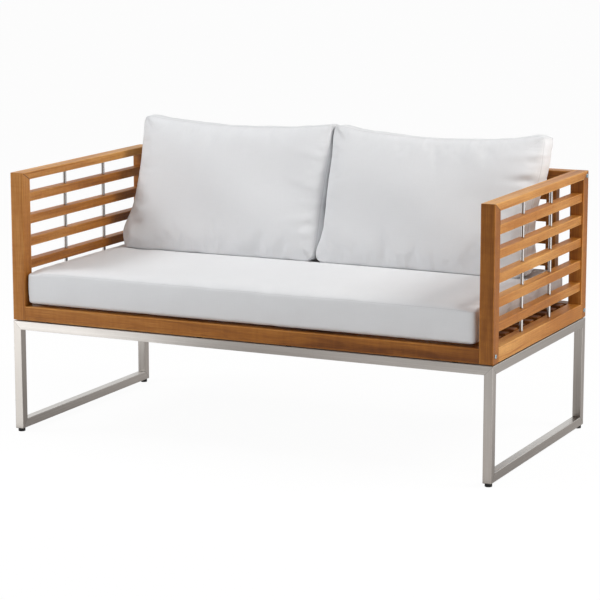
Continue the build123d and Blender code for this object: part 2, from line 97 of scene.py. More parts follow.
# The back cushions' size as sewn, their lean and their crowns
back_boxing = 0.076
back_spacing = 0.0085
back_slump = 0.020
back_lean = math.radians(22.0)
top_corner = 0.027
bottom_corner = 0.046
front_crown = 0.038
rear_crown = 0.034
rear_draw = 0.010
side_power = 0.45
lower_power = 1.0
upper_power = 0.5
belly_power = 0.7
width_ease = 0.004
height_ease = 0.0017
right_reach = 0.010
foot_lift = 0.0024

# The sag of a back cushion's lower part, from this share of its height below its middle
droop_start = 0.26
droop_sag = 0.30
rear_sag = 0.4

# How softly a back cushion gives way to what it touches, and how near the rail it does so
seat_softness = 0.0010
rail_softness = 0.0015
neighbour_softness = 0.003
rail_reach_below = 0.03
rail_reach_above = 0.004

# Where the two back cushions meet, going up
contact_heights = (0.480, 0.500, 0.528, 0.570, 0.620, 0.700, 0.770, 0.810, 0.850)
contact_places = (-0.008, -0.010, 0.000, 0.009, 0.003, -0.005, -0.006, -0.015, -0.017)

# How firmly each kind of cushion is filled, how its cover is inflated, and how much of the
# puckers is kept
seat_filling = {"seed": 5, "pressure": 2.2, "gather": 0.03, "stiffness": 26.0, "bending": 0.8,
                "steps": 14}
back_filling = {"pressure": 4.5, "gather": 0.07, "stiffness": 14.0, "bending": 0.35, "steps": 20}
seat_pucker = 0.012
seat_smoothing = 30
seat_pucker_weights = (0.5, 0.5, 1.0)
bottom_pucker_share = 0.25
back_pucker = 0.026
back_smoothing = 60
lower_pucker_share = 0.9
upper_pucker_loss = 0.4
# The unevenness that swelling starts from, and how far from a seam its thread draws the cloth
first_unevenness = 0.00035
seam_pull_reach = 0.02

# Ripples: how many waves, how high, the longest wave and the shortest
seat_side_ripple = (5, 0.0009, 0.30, 0.09)
front_ripple = (7, 0.0030, 0.42, 0.16)
boxing_ripple = (4, 0.0022, 0.22, 0.09)
sag_ripple = (5, 0.07, 0.20, 0.06)
ripple_start = 0.03
top_pinch = 0.5

# Gathers at the side seams of the back cushions
gather_pitch = 0.042
gather_width = 0.0125
gather_reach = 0.060
gather_height = 0.0085
gather_shift = 0.3
gather_slant = 0.4

# Each back cushion's own shape. The draws are how far its bottom, left, right and top bow in, and
# the bellies how far its boxing swells at the left, the right and the top. A bulge gives its side,
# how far up it is, its reach and its push. The creases are the shares of the gathers at the left
# and the right, and a dent gives its middle, its reach across and up, and its height. What is
# measured across or up, but for heights and pushes, is a share of the cushion's width or height.
back_shapes = {
    "left": {
        "seed": 11,
        "draws": (0.0, 0.014, 0.008, 0.020),
        "bellies": (0.009, 0.009, 0.003),
        "bulges": [(-1, -0.37, 0.085, 0.010)],
        "creases": (0.25, 1.0),
        "places": [(-0.47, -0.14, 0.045, 0.045, -0.009), (-0.455, -0.31, 0.06, 0.035, -0.010),
                   (-0.45, -0.22, 0.06, 0.04, 0.004), (-0.45, -0.42, 0.08, 0.06, 0.009),
                   (0.30, 0.08, 0.16, 0.30, -0.006)],
    },
    "right": {
        "seed": 12,
        "draws": (0.0, 0.004, 0.010, 0.026),
        "bellies": (0.010, 0.010, 0.003),
        "bulges": [(1, -0.37, 0.085, 0.004), (1, 0.24, 0.17, 0.010)],
        "creases": (0.3, 0.7),
        "places": [(0.46, 0.17, 0.09, 0.030, -0.008), (-0.45, -0.15, 0.05, 0.09, -0.005),
                   (0.20, 0.00, 0.20, 0.30, -0.004)],
    },
}


def size_of(node):
    """A node's lowest corner, highest corner and middle."""
    low, high = (np.array(corner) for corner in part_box(node))
    return low, high, (low + high) / 2


# Shader sums

class Signal:
    """A number that changes over a surface. Sums on it add Math nodes to its material."""

    def __init__(self, paint, socket):
        self.paint = paint
        self.socket = socket

    def math(self, operation, first, second=0.0):
        return self.paint.add("ShaderNodeMath", {"operation": operation}, {0: first, 1: second})

    def __add__(self, other):
        return self.math("ADD", self, other)

    def __sub__(self, other):
        return self.math("SUBTRACT", self, other)

    def __rsub__(self, other):
        return self.math("SUBTRACT", other, self)

    def __mul__(self, other):
        return self.math("MULTIPLY", self, other)

    def __truediv__(self, other):
        return self.math("DIVIDE", self, other)

    def __pow__(self, other):
        return self.math("POWER", self, other)

    def __abs__(self):
        return self.math("ABSOLUTE", self)

    __radd__ = __add__
    __rmul__ = __mul__

    def sine(self):
        return self.math("SINE", self)

    def root(self):
        return self.math("SQRT", self)

    def floor(self):
        return self.math("FLOOR", self)

    def least(self, other):
        return self.math("MINIMUM", self, other)

    def most(self, other):
        return self.math("MAXIMUM", self, other)

    def step(self, low, high, start=0.0, finish=1.0):
        """Rises smoothly from start to finish as the number goes from low to high."""
        return self.paint.add(
            "ShaderNodeMapRange", {"interpolation_type": "SMOOTHSTEP"},
            {"Value": self, "From Min": low, "From Max": high, "To Min": start, "To Max": finish})


class Paint:
    """One material, or the world round the piece, and the nodes that it is made of."""

    def __init__(self, name, world=False):
        self.holder = (bpy.data.worlds if world else bpy.data.materials).new(name)
        self.holder.use_nodes = True
        self.tree = self.holder.node_tree
        self.tree.nodes.clear()
        self.output = self.tree.nodes.new("ShaderNodeOutputWorld" if world else "ShaderNodeOutputMaterial")

    def add(self, kind, settings=None, sockets=None, output=0):
        """A node of that kind with its settings made first and its sockets set or linked. A tuple
        is a colour."""
        node = self.tree.nodes.new(kind)
        for key, value in (settings or {}).items():
            if key == "stops":
                self.set_stops(node.color_ramp, value)
            else:
                setattr(node, key, value)
        for key, value in (sockets or {}).items():
            if isinstance(value, Signal):
                self.tree.links.new(value.socket, node.inputs[key])
            else:
                node.inputs[key].default_value = (*value, 1.0) if isinstance(value, tuple) else value
        return Signal(self, node.outputs[output])

    @staticmethod
    def set_stops(ramp, stops):
        while len(ramp.elements) > 1:
            ramp.elements.remove(ramp.elements[-1])
        ramp.elements[0].position = stops[0][0]
        ramp.elements[0].color = (*stops[0][1], 1.0)
        for place, colour in stops[1:]:
            ramp.elements.new(place).color = (*colour, 1.0)

    def parts(self, point):
        """The three numbers that a vector is made of."""
        return [self.add("ShaderNodeSeparateXYZ", None, {0: point}, output=axis) for axis in range(3)]

    def place(self):
        """X, Y and Z of a point on the piece."""
        return self.parts(self.add("ShaderNodeTexCoord", output="Object"))

    def sheet_place(self):
        """The point's place on the flat cloth, along and across."""
        return self.parts(self.add("ShaderNodeUVMap", {"uv_map": "cloth"}))[:2]

    def measure(self, name):
        """A number stored on the mesh under that name."""
        return self.add("ShaderNodeAttribute", {"attribute_name": name}, output="Fac")

    def vector(self, x, y, z):
        return self.add("ShaderNodeCombineXYZ", None, {0: x, 1: y, 2: z})

    def noise(self, vector, detail=2.0, roughness=0.5):
        return self.add("ShaderNodeTexNoise", None,
                        {"Vector": vector, "Scale": 1.0, "Detail": detail, "Roughness": roughness})

    def pattern(self, place, scale, detail=2.0, roughness=0.5):
        """Noise over a piece, with so many changes per metre: one number, or one for each axis."""
        scales = scale if isinstance(scale, tuple) else (scale, scale, scale)
        return self.noise(self.vector(*(axis * number for axis, number in zip(place, scales))),
                          detail, roughness)

    def blend(self, share, first, second):
        """A colour between two colours."""
        return self.add("ShaderNodeMix", {"data_type": "RGBA"},
                        {0: share, 6: first, 7: second}, output=2)

    def ramp(self, share, stops):
        return self.add("ShaderNodeValToRGB", {"stops": stops}, {0: share})

    def bump(self, height, distance, strength):
        return self.add("ShaderNodeBump", None,
                        {"Height": height, "Distance": distance, "Strength": strength})

    def ray(self, kind):
        """1 for rays of that kind and 0 for the others."""
        return self.add("ShaderNodeLightPath", output=f"Is {kind} Ray")

    def either(self, share, first, second):
        """One shader where the share is 0 and another where it is 1."""
        return self.add("ShaderNodeMixShader", None, {0: share, 1: first, 2: second})

    def show(self, surface):
        """Makes that shader the surface, and returns the material or the world."""
        self.tree.links.new(surface.socket, self.output.inputs["Surface"])
        return self.holder

    def finish(self, **sockets):
        """The surface shader, with its sockets named in words."""
        names = {"colour": "Base Color", "roughness": "Roughness", "metal": "Metallic",
                 "normal": "Normal", "sheen": "Sheen Weight", "sheen_roughness": "Sheen Roughness",
                 "gloss": "Specular IOR Level"}
        named = {names[key]: value for key, value in sockets.items()}
        return self.show(self.add("ShaderNodeBsdfPrincipled", None, named))


# Finishes

timber_pale = (0.67, 0.345, 0.100)
timber_gold = (0.405, 0.146, 0.020)
timber_brown = (0.198, 0.060, 0.0070)
timber_dark = (0.070, 0.018, 0.003)
timber_stops = [(0.02, timber_dark), (0.34, timber_brown), (0.63, timber_gold), (1.0, timber_pale)]
timber_level = 0.625
timber_relief = 0.0005
timber_gloss = 0.34

# The timber's patterns: changes per metre along the grain and across it both ways
wander_scale = (3.0, 12, 12)
fibre_scale = (8, 700, 700)
pore_scale = (42, 2100, 2100)
cloud_scale = (2.4, 15, 15)
ripple_scale = (75, 14, 14)
# Growth bands: changes per metre from the pith and along the grain
band_scale = (230, 0.9, 0)
# Dark streaks: along the grain, from the pith and across
streak_scale = (1.2, 90, 8)

# How far the pith lies beside the piece, how it slopes and how the bands wander
pith_reach = (0.025, 0.07)
pith_slope = 0.012
band_wander = 0.020

# How much each pattern lightens or darkens the timber
cloud_weight = 0.80
fibre_weight = 0.70
ripple_weight = 0.16
band_weight = 0.62
late_weight = 0.16
streak_weight = 0.22
pore_weight = 0.45
slat_weight = 0.22
# Edges painted paler: partly sanded wear and partly a painted highlight along their rounding
worn_edge_and_highlight = (0.0006, 0.0040, 0.15, 0.0)

# Slats in a row: how far each one's grain is shifted along and across from the one before
slat_shift_along = 3.7
slat_shift_across = 0.113
slat_tone_step = 12.9898

joint_gap = 0.0008
joint_dark = 0.90
joint_edge = (0.001, 0.004)


def joint_line(place, name):
    """A dark line round the mitre where an arm's post meets its top rail, and nothing elsewhere.
    The mitre runs from the outer top corner to the inner one in the Y and Z plane."""
    if not name.startswith(("post_", "arm_top_rail")):
        return 0.0
    rail_low, rail_high, _ = size_of("arm_top_rail_left")
    inner = size_of("post_front_left")[1][1]
    fall = (rail_high[2] - rail_low[2]) / (rail_high[1] + inner)
    inset = float(rail_high[1]) - abs(place[1])
    away = (float(rail_high[2]) - place[2]) - inset * float(fall)
    return abs(away).step(joint_gap, joint_gap * 2, joint_dark, 0.0) * inset.step(*joint_edge)


def hardwood(name, along, low, high, seed, tone, pitch, painted_falloff):
    """Oiled hardwood with its grain along one axis: irregular growth bands round a pith beside the
    timber, fibres, pores, dark streaks, cross ripple, and paler edges that are partly sanded wear and
    partly a painted highlight. Where the piece is a row of slats, pitch is their spacing and each slat
    has a tone of its own. The tone makes the piece paler or darker, partly its own tone and partly
    painted light and shade. The painted falloff is how much darker one end is painted than the
    other, as painted shade where the light falls off along the piece."""
    rng = np.random.default_rng(seed)
    paint = Paint(f"hardwood_{name}")
    place = paint.place()
    across = [axis for axis in range(3) if axis != along]
    middle = (np.array(low) + np.array(high)) / 2
    half = (np.array(high) - np.array(low)) / 2
    run = place[along] + float(rng.uniform(-9, 9))
    first, second = (place[axis] - float(middle[axis]) for axis in across)
    slat_tone = 0.0
    if pitch:
        row = 0 if across[0] != 2 else 1
        number = ((place[across[row]] - float(low[across[row]])) / pitch).floor()
        slat_tone = (number * slat_tone_step).sine() * 0.5
        run = run + number * slat_shift_along
        first = first + number * slat_shift_across
    turn = rng.uniform(0, 2 * math.pi)
    reach = rng.uniform(*pith_reach)
    slope = rng.uniform(-pith_slope, pith_slope)
    wander = paint.pattern((run, first, second), wander_scale, 3.0) - 0.5
    from_pith = ((first - float(reach * math.cos(turn))) ** 2.0
                 + (second - float(reach * math.sin(turn))) ** 2.0).root()
    ring = from_pith + run * float(slope) + wander * band_wander
    band = paint.pattern((ring, run, 0.0), band_scale, 3.0, 0.65)
    late = band.step(0.50, 0.68)
    fibre = paint.pattern((run, first, second), fibre_scale, 4.0, 0.62)
    pore = paint.pattern((run, first, second), pore_scale, 1.0).step(0.60, 0.74)
    cloud = paint.pattern((run, first, second), cloud_scale)
    ripple = paint.pattern((run, first, second), ripple_scale, 2.0, 0.6)
    streak = paint.pattern((run, ring, second), streak_scale, 2.0, 0.6).step(0.56, 0.74)
    level = (timber_level + float(tone) + slat_tone * slat_weight + (cloud - 0.5) * cloud_weight
             + (fibre - 0.5) * fibre_weight + (ripple - 0.5) * ripple_weight
             + (band - 0.5) * band_weight - late * late_weight - streak * streak_weight)
    # Painted shade: one end darker, where the light falls off along the piece
    if painted_falloff:
        level = level - (place[along] - float(middle[along])) * (painted_falloff / float(2 * half[along]))
    # Paler edges: partly sanded wear and partly a painted highlight
    if not pitch:
        gaps = [float(half[axis]) - abs(side) for axis, side in zip(across, (first, second))]
        level = level + (gaps[0] + gaps[1]).step(*worn_edge_and_highlight)
    colour = paint.blend(pore * pore_weight, paint.ramp(level, timber_stops), timber_dark)
    joint = joint_line(place, name)
    if joint:
        colour = paint.blend(joint, colour, timber_dark)
    height = fibre * 0.5 - pore * 0.7 - late * 0.25
    return paint.finish(colour=colour, roughness=0.36 + fibre * 0.16 + pore * 0.1,
                        normal=paint.bump(height, timber_relief, 0.5), gloss=timber_gloss)


steel_light = (0.73, 0.70, 0.67)
steel_dark = (0.57, 0.54, 0.505)
steel_joint = (0.16, 0.15, 0.14)
# Painted shade: the front-left leg's steel is made darker than the rest of the base
front_left_leg_painted_shade = -0.8
steel_gap = 0.0008
steel_joint_dark = 0.70
brush_tilt = 0.30
haze_tilt = 0.02

# The steel's patterns: changes per metre along the brushing and across it both ways
scratch_scale = (16, 3800, 3800)
steel_band_scale = (1.6, 260, 260)
haze_scale = (5, 30, 30)


def mitre_line(place):
    """A fine dark line on a leg of the base along the mitres by which it meets the rails above it
    and the runner below it."""
    top = size_of("base_front_rail")[1]
    back = size_of("base_back_rail")[1]
    from_back = float(back[1]) - abs(place[1])
    above = (float(top[2]) - place[2]) - (float(top[0]) - abs(place[0])).most(from_back)
    below = (place[2] - float(size_of("leg_front_left")[0][2])) - from_back
    return abs(above).least(abs(below)).step(steel_gap, steel_gap * 2.5, steel_joint_dark, 0.0)


def brushed_steel(node, along, seed):
    """Stainless tube brushed along one axis: fine scratches turn its normal across the brushing,
    which draws its reflections out, and broad bands change its tone."""
    rng = np.random.default_rng(seed)
    paint = Paint(f"brushed_steel_{node}")
    place = paint.place()
    across = [axis for axis in range(3) if axis != along]
    run = place[along] + float(rng.uniform(-5, 5))
    brushing = (run, *(place[axis] for axis in across))
    scratch = paint.pattern(brushing, scratch_scale, 2.0, 0.7)
    band = paint.pattern(brushing, steel_band_scale, 3.0, 0.6)
    haze = paint.pattern(brushing, haze_scale, 3.0)
    pushes = [(scratch - 0.5) * brush_tilt] * 3
    pushes[along] = (haze - 0.5) * haze_tilt
    geometry = paint.add("ShaderNodeNewGeometry", output="Normal")
    push = paint.vector(*pushes)
    turned = paint.add("ShaderNodeVectorMath", {"operation": "ADD"}, {0: geometry, 1: push})
    normal = paint.add("ShaderNodeVectorMath", {"operation": "NORMALIZE"}, {0: turned})
    share = (band * 0.7 + scratch * 0.5).step(0.35, 0.85)
    # Painted shade: the front-left leg is painted darker than the rest of the base
    share = share + (front_left_leg_painted_shade if node == "leg_front_left" else 0.0)
    colour = paint.blend(share, steel_dark, steel_light)
    if node.startswith("leg_"):
        colour = paint.blend(mitre_line(place), colour, steel_joint)
    return paint.finish(colour=colour, metal=1.0, normal=normal,
                        roughness=0.24 + haze * 0.10 + scratch * 0.06)


rod_colours = ((0.40, 0.385, 0.375), (0.56, 0.545, 0.535))
rod_mark_scale = (90, 90, 1400)
rod_stain_scale = (40, 40, 12)
bolt_colours = ((0.46, 0.63, 0.72), (0.64, 0.78, 0.85))
bolt_swirl_scale = 700
zinc_colours = ((0.42, 0.43, 0.44), (0.62, 0.62, 0.61))
spangle_scale = 420
black_colours = ((0.012, 0.012, 0.013), (0.035, 0.034, 0.033))
bloom_scale = 60


def drawn_rod(name):
    """Bright drawn rod with faint marks round it."""
    paint = Paint(name)
    place = paint.place()
    mark = paint.pattern(place, rod_mark_scale)
    stain = paint.pattern(place, rod_stain_scale, 3.0)
    return paint.finish(colour=paint.blend(stain, *rod_colours), metal=1.0,
                        roughness=0.07 + mark * 0.08, normal=paint.bump(mark, 0.0001, 0.25))


def polished_bolt(name):
    """Polished head with a slight cool tint and fine swirls."""
    paint = Paint(name)
    swirl = paint.pattern(paint.place(), bolt_swirl_scale, 3.0)
    return paint.finish(colour=paint.blend(swirl, *bolt_colours), metal=1.0,
                        roughness=0.10 + swirl * 0.12, normal=paint.bump(swirl, 0.0001, 0.2))


def zinc_fixing(name):
    """Dull zinc plate."""
    paint = Paint(name)
    spangle = paint.pattern(paint.place(), spangle_scale, 3.0)
    return paint.finish(colour=paint.blend(spangle, *zinc_colours), metal=1.0,
                        roughness=0.32 + spangle * 0.2, normal=paint.bump(spangle, 0.0002, 0.3))


def black_moulding(name, grain, roughness):
    """Matte black plastic or rubber with a fine grain and a dusty bloom."""
    paint = Paint(name)
    place = paint.place()
    fine = paint.pattern(place, grain, 3.0)
    bloom = paint.pattern(place, bloom_scale, 3.0).step(0.45, 0.75)
    return paint.finish(colour=paint.blend(bloom, *black_colours), roughness=roughness + fine * 0.2,
                        normal=paint.bump(fine, 0.0002, 0.4))


fabric_light = (0.826, 0.834, 0.850)
fabric_shade = (0.736, 0.745, 0.763)
thread_pitch = 0.0011
stitch_pitch = 0.0042
stitch_inset = 0.0050
stitch_edge = (0.0002, 0.0007)
stitch_colour = (0.60, 0.60, 0.61)
# Painted shade in the crease at each seam: its width and its colour
fold_width = 0.0016
seam_shade_colour = (0.42, 0.42, 0.43)
fabric_relief = 0.0006
fabric_level = 0.60

# Changes per metre across a thread and along it, of the fuzz, of the dust and of the gathers
slub_across = 900
slub_along = 24
fuzz_scale = 520
dust_scale = 9
small_gather_scale = 46
small_gather_reach = (0.004, 0.055)

# How high the small gathers of the seat cushion and of the back cushions are
seat_gathering = 2.0
back_gathering = 11.0


def weave(paint, u, v, shift):
    """Plain weave: the height of threads that go over and under each other, and of the slubs."""
    turn = math.pi / thread_pitch
    warp = (u * turn).sine()
    weft = (v * turn).sine()
    over = (warp * weft).step(-0.6, 0.6)
    thread = abs(warp) * over + abs(weft) * (1.0 - over)
    slub = (paint.noise(paint.vector(u * slub_across + shift, v * slub_along, 0.0))
            + paint.noise(paint.vector(u * slub_along, v * slub_across + shift, 3.0))) * 0.5
    return thread, slub


def woven_cover(name, seed, gathering):
    """Off-white plain weave. Slubs make some threads thicker, a row of stitches holds each seam
    down on both sides and small gathers run out from it."""
    rng = np.random.default_rng(seed)
    paint = Paint(name)
    u, v = paint.sheet_place()
    x, y, z = paint.place()
    shift = float(rng.uniform(-4, 4))
    thread, slub = weave(paint, u, v, shift)
    fuzz = paint.pattern((x, y, z), fuzz_scale, 3.0, 0.7)
    dust = paint.noise(paint.vector(x * dust_scale + shift, y * dust_scale, z * dust_scale), 3.0)
    seam = paint.measure("seam")
    along = paint.measure("along")
    track = 1.0 - abs(seam - stitch_inset).step(*stitch_edge)
    stitch = track * (along * (2 * math.pi / stitch_pitch)).sine().step(-0.35, 0.1)
    fold = seam.step(0.0, fold_width, 1.0, 0.0)
    level = (fabric_level + (slub - 0.5) * 0.9 + (thread - 0.6) * 0.22 + (dust - 0.5) * 0.35
             + (fuzz - 0.5) * 0.2)
    colour = paint.blend(level, fabric_shade, fabric_light)
    # Painted shade: the cloth darkens in the crease right at each seam
    colour = paint.blend(fold * 0.34, colour, seam_shade_colour)
    colour = paint.blend(track * 0.10 + stitch * 0.16, colour, stitch_colour)
    gather = (paint.noise(paint.vector(along * small_gather_scale, seam * 9, shift), 1.0)
              * seam.step(*small_gather_reach, 1.0, 0.0))
    height = (thread * 0.35 + slub * 0.5 + fuzz * 0.15 - track * 0.9 + stitch * 1.1 - fold * 1.6
              + gather * gathering)
    return paint.finish(colour=colour, roughness=0.86 + fuzz * 0.12, sheen=0.18,
                        sheen_roughness=0.55, gloss=0.18,
                        normal=paint.bump(height, fabric_relief, 0.55))


# Cushions

def panel_grid(width, height, spacing):
    """Numbers of cells across and up, and both rows of places on a flat panel about its middle."""
    cells = [max(4, int(round(length / spacing))) for length in (width, height)]
    lines = [np.linspace(-length / 2, length / 2, count + 1)
             for length, count in zip((width, height), cells)]
    return cells, lines


class Cushion:
    """A boxed cover as cut and sewn: two panels in the X and Y plane and a boxing strip between
    them, on one closed grid. Each point keeps its place on the flat cloth, its distance from the
    nearest seam and the length along that seam."""

    def __init__(self, width, height, boxing, spacing):
        self.width, self.height, self.boxing = width, height, boxing
        (columns, lines), (xs, ys) = panel_grid(width, height, spacing)
        rows = max(4, int(round(boxing / spacing)))
        grid_x, grid_y = np.meshgrid(xs, ys)
        flat = np.stack([grid_x.ravel(), grid_y.ravel()], axis=1)
        count = len(flat)
        number = np.arange(count).reshape(lines + 1, columns + 1)
        edge = np.concatenate([number[0, :-1], number[:-1, -1], number[-1, :0:-1], number[:0:-1, 0]])
        loop = len(edge)
        depths = np.linspace(boxing / 2, -boxing / 2, rows + 1)
        strip = np.concatenate([np.column_stack([flat[edge], np.full(loop, depth)])
                                for depth in depths[1:-1]])
        front = np.column_stack([flat, np.full(count, boxing / 2)])
        rear = np.column_stack([flat, np.full(count, -boxing / 2)])
        self.points = np.concatenate([front, rear, strip])
        self.front = self.points[:, 2] >= boxing / 2 - same_depth
        self.rear = self.points[:, 2] <= -boxing / 2 + same_depth
        self.side = ~(self.front | self.rear)
        inner = 2 * count + np.arange((rows - 1) * loop).reshape(rows - 1, loop)
        rings = np.concatenate([edge[None], inner, count + edge[None]])
        panel = np.stack([number[:-1, :-1], number[:-1, 1:], number[1:, 1:], number[1:, :-1]], axis=-1)
        panel = panel.reshape(-1, 4)
        after = np.roll(rings, -1, axis=1)
        wall = np.stack([rings[:-1], rings[1:], after[1:], after[:-1]], axis=-1).reshape(-1, 4)
        self.faces = np.concatenate([panel, count + panel[:, ::-1], wall])
        self.measure_cloth(flat, edge, rows, depths, len(panel))

    def measure_cloth(self, flat, edge, rows, depths, panels):
        """Cloth places for each face corner, and for each point its seam distance and run."""
        sides = np.stack([self.width / 2 - abs(flat[:, 0]), self.height / 2 - abs(flat[:, 1])])
        inset = sides.min(axis=0)
        run = np.where(sides[0] < sides[1], flat[:, 1], flat[:, 0])
        steps = np.linalg.norm(np.roll(flat[edge], -1, axis=0) - flat[edge], axis=1)
        length = np.concatenate([[0.0], np.cumsum(steps)])
        depth_gap = self.boxing / 2 - abs(depths[1:-1])
        loop = len(edge)
        self.seam = np.concatenate([inset, inset, np.repeat(depth_gap, loop)])
        self.along = np.concatenate([run, run, np.tile(run[edge], rows - 1)])
        panel_uv = flat[self.faces[:panels]]
        rear_uv = flat[self.faces[panels:2 * panels] - len(flat)] + np.array([self.width + sheet_gap, 0.0])
        ring_low = np.tile(np.arange(loop), rows)
        ring_row = np.repeat(np.arange(rows), loop)
        strip_uv = np.stack([np.column_stack([length[ring_low + on], depths[ring_row + down]])
                             for on, down in ((0, 0), (0, 1), (1, 1), (1, 0))], axis=1)
        strip_uv = strip_uv + np.array([0.0, -self.height])
        self.uv = np.concatenate([panel_uv, rear_uv, strip_uv]).reshape(-1, 2)

    def smoothed(self, values, rounds):
        """The values after each point has been averaged with its neighbours that many times."""
        ends = np.concatenate([self.faces[:, [k, (k + 1) % 4]] for k in range(4)])
        count = np.bincount(ends[:, 0], minlength=len(values))[:, None]
        for _ in range(rounds):
            total = np.column_stack([np.bincount(ends[:, 0], column[ends[:, 1]], len(values))
                                     for column in values.T])
            values = (values + total / count) / 2
        return values

    def puckers(self, swelled, limit, rounds):
        """The fine part of what the swelling did: each point's move, no longer than limit, less
        the smooth part of all the moves."""
        change = swelled - self.points
        change -= change.mean(axis=0)
        size = np.linalg.norm(change, axis=1)
        change *= (np.minimum(size, limit) / np.maximum(size, 1e-9))[:, None]
        return change - self.smoothed(change, rounds)

    def mesh(self, name, points):
        """A mesh of the cover with its points at those places."""
        mesh = bpy.data.meshes.new(name)
        mesh.from_pydata(points.tolist(), [], self.faces.tolist())
        cloth = mesh.uv_layers.new(name="cloth")
        cloth.data.foreach_set("uv", self.uv.ravel())
        for label, values in (("seam", self.seam), ("along", self.along)):
            attribute = mesh.attributes.new(label, "FLOAT", "POINT")
            attribute.data.foreach_set("value", values.astype(np.float32))
        mesh.update()
        mesh.polygons.foreach_set("use_smooth", np.ones(len(mesh.polygons), dtype=bool))
        return mesh

    def inflate(self, seed, pressure, gather, stiffness, bending, steps):
        """The points after the filled cover has swelled, by a cloth simulation in which the thread
        of each seam is tighter than the cloth beside it."""
        rng = np.random.default_rng(seed)
        start = self.points + rng.normal(0, first_unevenness, self.points.shape)
        body = bpy.data.objects.new("swelling", self.mesh("swelling", start))
        bpy.context.scene.collection.objects.link(body)
        tight = body.vertex_groups.new(name="tight")
        shares = np.clip(1.0 - self.seam / seam_pull_reach, 0, 1)
        for share in np.unique(shares[shares > 0]):
            tight.add(np.flatnonzero(shares == share).tolist(), float(share), "REPLACE")
        cloth = body.modifiers.new("cloth", "CLOTH")
        cloth.collision_settings.use_collision = False
        cloth.point_cache.frame_end = steps
        cloth.settings.effector_weights.gravity = 0.0
        settings = {
            "quality": 5, "mass": 0.3, "air_damping": 2.0,
            "tension_stiffness": stiffness, "compression_stiffness": stiffness,
            "shear_stiffness": stiffness * 0.4, "bending_stiffness": bending,
            "use_pressure": True, "uniform_pressure_force": pressure,
            "vertex_group_shrink": "tight", "shrink_min": 0.0, "shrink_max": gather,
        }
        for key, value in settings.items():
            setattr(cloth.settings, key, value)
        scene = bpy.context.scene
        for step in range(1, steps + 1):
            scene.frame_set(step)
        swelled = body.evaluated_get(bpy.context.evaluated_depsgraph_get()).to_mesh()
        result = np.empty(self.points.size)
        swelled.vertices.foreach_get("co", result)
        bpy.data.objects.remove(body)
        scene.frame_set(1)
        return result.reshape(-1, 3)


def drawn_in(points, width, height, draws, corner):
    """Points whose sides bow in by a parabola, each by its own draw (bottom, left, right, top),
    with the corners rounded off: a point near a corner moves towards the middle by how far it is
    outside the corner's circle. The corner may be one radius or one for each point."""
    across, up = points[:, 0] / (width / 2), points[:, 1] / (height / 2)
    bottom, left, right, top = draws
    sideways = np.where(across > 0, right, left)
    vertical = np.where(up > 0, top, bottom)
    bowed = points.copy()
    bowed[:, 0] -= across * (1 - up ** 2) * sideways
    bowed[:, 1] -= up * (1 - across ** 2) * vertical
    beyond = np.stack([abs(points[:, 0]) - (width / 2 - corner),
                       abs(points[:, 1]) - (height / 2 - corner)], axis=1)
    beyond = np.clip(beyond, 0, None)
    distance = np.linalg.norm(beyond, axis=1)
    excess = np.clip(distance - corner, 0, None)
    move = excess[:, None] * beyond / np.maximum(distance, 1e-9)[:, None]
    bowed[:, :2] -= np.sign(points[:, :2]) * move
    return bowed


def crown_share(points, width, height):
    """How much of its crown a panel has at each point: nothing at the seam, all at the middle,
    with a steep rise near the seam like a filled bag's, less steep at the bottom."""
    across = np.clip(1 - (2 * points[:, 0] / width) ** 2, 0, 1)
    up = np.clip(1 - (2 * points[:, 1] / height) ** 2, 0, 1)
    return (across ** side_power) * up ** np.where(points[:, 1] < 0, lower_power, upper_power)


def soft_limit(values, limit, softness):
    """Values that come near a limit from below ease off and never pass it."""
    return limit - softness * np.logaddexp(0.0, (limit - values) / softness)


def piece_from(cover, name, points, filling_node, material):
    """The finished cushion: the cover's mesh, subdivided once, riding on its body."""
    piece = bpy.data.objects.new(name, cover.mesh(name, points))
    bpy.context.scene.collection.objects.link(piece)
    smooth = piece.modifiers.new("smooth", "SUBSURF")
    smooth.levels = 1
    smooth.render_levels = 1
    piece.data.materials.append(material)
    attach(piece, name)
    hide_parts(f"{name}_cover", filling_node)


def seat_surface(x, y):
    """Height of the seat cushion's top: a low crown, pressed down where the back cushions stand on
    it, rounded down at its corners, with a few soft folds fanning out from its back left corner."""
    low, high, middle = size_of("seat_cushion_cover")
    half = (high - low) / 2
    share = (np.clip(1 - ((x - middle[0]) / half[0]) ** 2, 0, 1) ** seat_crown_powers[0]
             * np.clip(1 - ((y - middle[1]) / half[1]) ** 2, 0, 1) ** seat_crown_powers[1])
    pressed = 0.5 + 0.5 * np.tanh((y - press_line) / press_blend)
    ends = np.clip((half[0] - abs(x - middle[0])) / press_ends, 0, 1)
    away = np.hypot(x - low[0], y - high[1])
    turn = np.arctan2(high[1] - y, x - low[0])
    fold = (np.sin(turn * fan_turns + fan_start) * np.exp(-((x - low[0]) / fan_reach) ** 2)
            * np.clip(away / fan_gap, 0, 1))
    crown = (seat_crown + fan_height * fold) * share
    to_corner = np.hypot(half[0] - abs(x - middle[0]), half[1] - abs(y - middle[1]))
    droop = corner_droop * np.exp(-(to_corner / corner_reach) ** 2)
    press = seat_press * pressed * ends * share ** 0.5
    return high[2] - seat_crown + crown - droop - press - clearance


def undulation(x, y, rng, waves, amplitude, longest, shortest):
    """A gentle random relief: a sum of waves of random direction, length and start."""
    relief = np.zeros_like(x)
    for _ in range(waves):
        turn, start = rng.uniform(0, 2 * math.pi, 2)
        length = rng.uniform(shortest, longest)
        relief += np.sin(2 * math.pi * (x * math.cos(turn) + y * math.sin(turn)) / length + start)
    return amplitude * relief / math.sqrt(waves)


def dents(x, y, places):
    """Hollows and swellings: bell shapes, each with its middle, its reach both ways and its height."""
    relief = np.zeros_like(x)
    for middle_x, middle_y, reach_x, reach_y, height in places:
        relief += height * np.exp(-((x - middle_x) / reach_x) ** 2 - ((y - middle_y) / reach_y) ** 2)
    return relief


